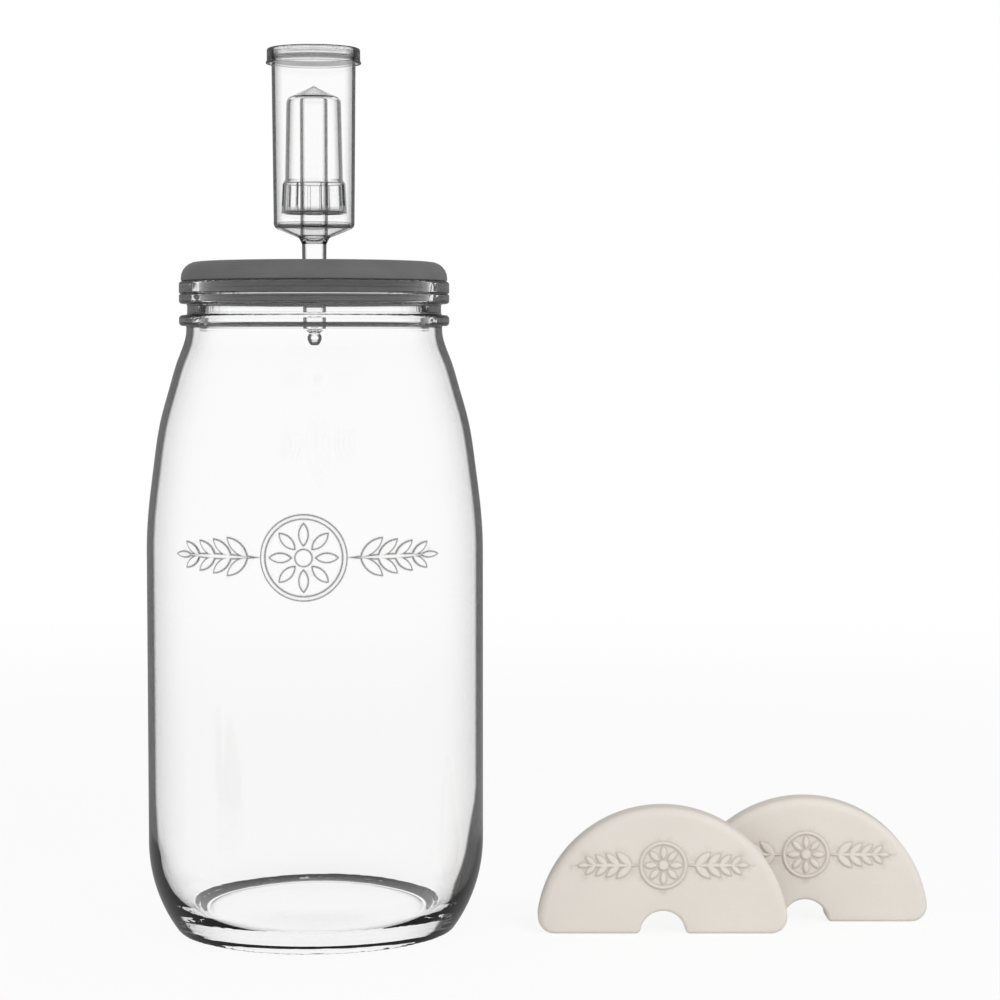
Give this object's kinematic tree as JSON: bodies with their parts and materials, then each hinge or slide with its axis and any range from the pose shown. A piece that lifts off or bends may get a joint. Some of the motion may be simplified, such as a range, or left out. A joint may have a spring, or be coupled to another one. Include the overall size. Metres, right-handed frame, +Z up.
{
  "type": "fermentation jar with airlock",
  "caption": "Tall glass jar with a push-in silicone lid, a clear three-piece airlock through the lid, and half-moon ceramic weights standing beside it.",
  "frame": {"origin": "centre of the jar's foot, on the surface it stands on", "axes": "+Z up along the jar's axis; -Y is the front with the raised ornament; +X points to the weights"},
  "size_m": [0.3197, 0.1369, 0.3567],
  "materials": {
    "jar_glass": "clear pressed glass, gloss",
    "lid_silicone": "dark grey silicone, satin",
    "clear_plastic": "clear moulded plastic, gloss",
    "cap_plastic": "cloudy moulded plastic",
    "weight_ceramic": "off-white glazed stoneware, satin"
  },
  "bodies": {
    "jar": {"glass_jar": "jar_glass"},
    "lid": {"silicone_lid": "lid_silicone"},
    "airlock": {"airlock_body": "clear_plastic"},
    "bell": {"airlock_bell": "clear_plastic"},
    "cap": {"airlock_cap": "cap_plastic"},
    "weight_a": {"weight_front": "weight_ceramic"},
    "weight_b": {"weight_back": "weight_ceramic"}
  },
  "joints": [
    {"name": "lid_lift", "type": "slide", "parent": "jar", "child": "lid", "axis": [0, 0, 1], "range_m": [0, 0.08]},
    {"name": "airlock_lift", "type": "slide", "parent": "lid", "child": "airlock", "axis": [0, 0, 1], "range_m": [0, 0.045]},
    {"name": "bell_float", "type": "slide", "parent": "airlock", "child": "bell", "axis": [0, 0, 1], "range_m": [0, 0.01]},
    {"name": "cap_lift", "type": "slide", "parent": "airlock", "child": "cap", "axis": [0, 0, 1], "range_m": [0, 0.02]},
    {"name": "weight_front_lift", "type": "slide", "parent": "jar", "child": "weight_a", "axis": [0, 0, 1], "range_m": [0, 0.06]},
    {"name": "weight_back_lift", "type": "slide", "parent": "jar", "child": "weight_b", "axis": [0, 0, 1], "range_m": [0, 0.06]}
  ]
}
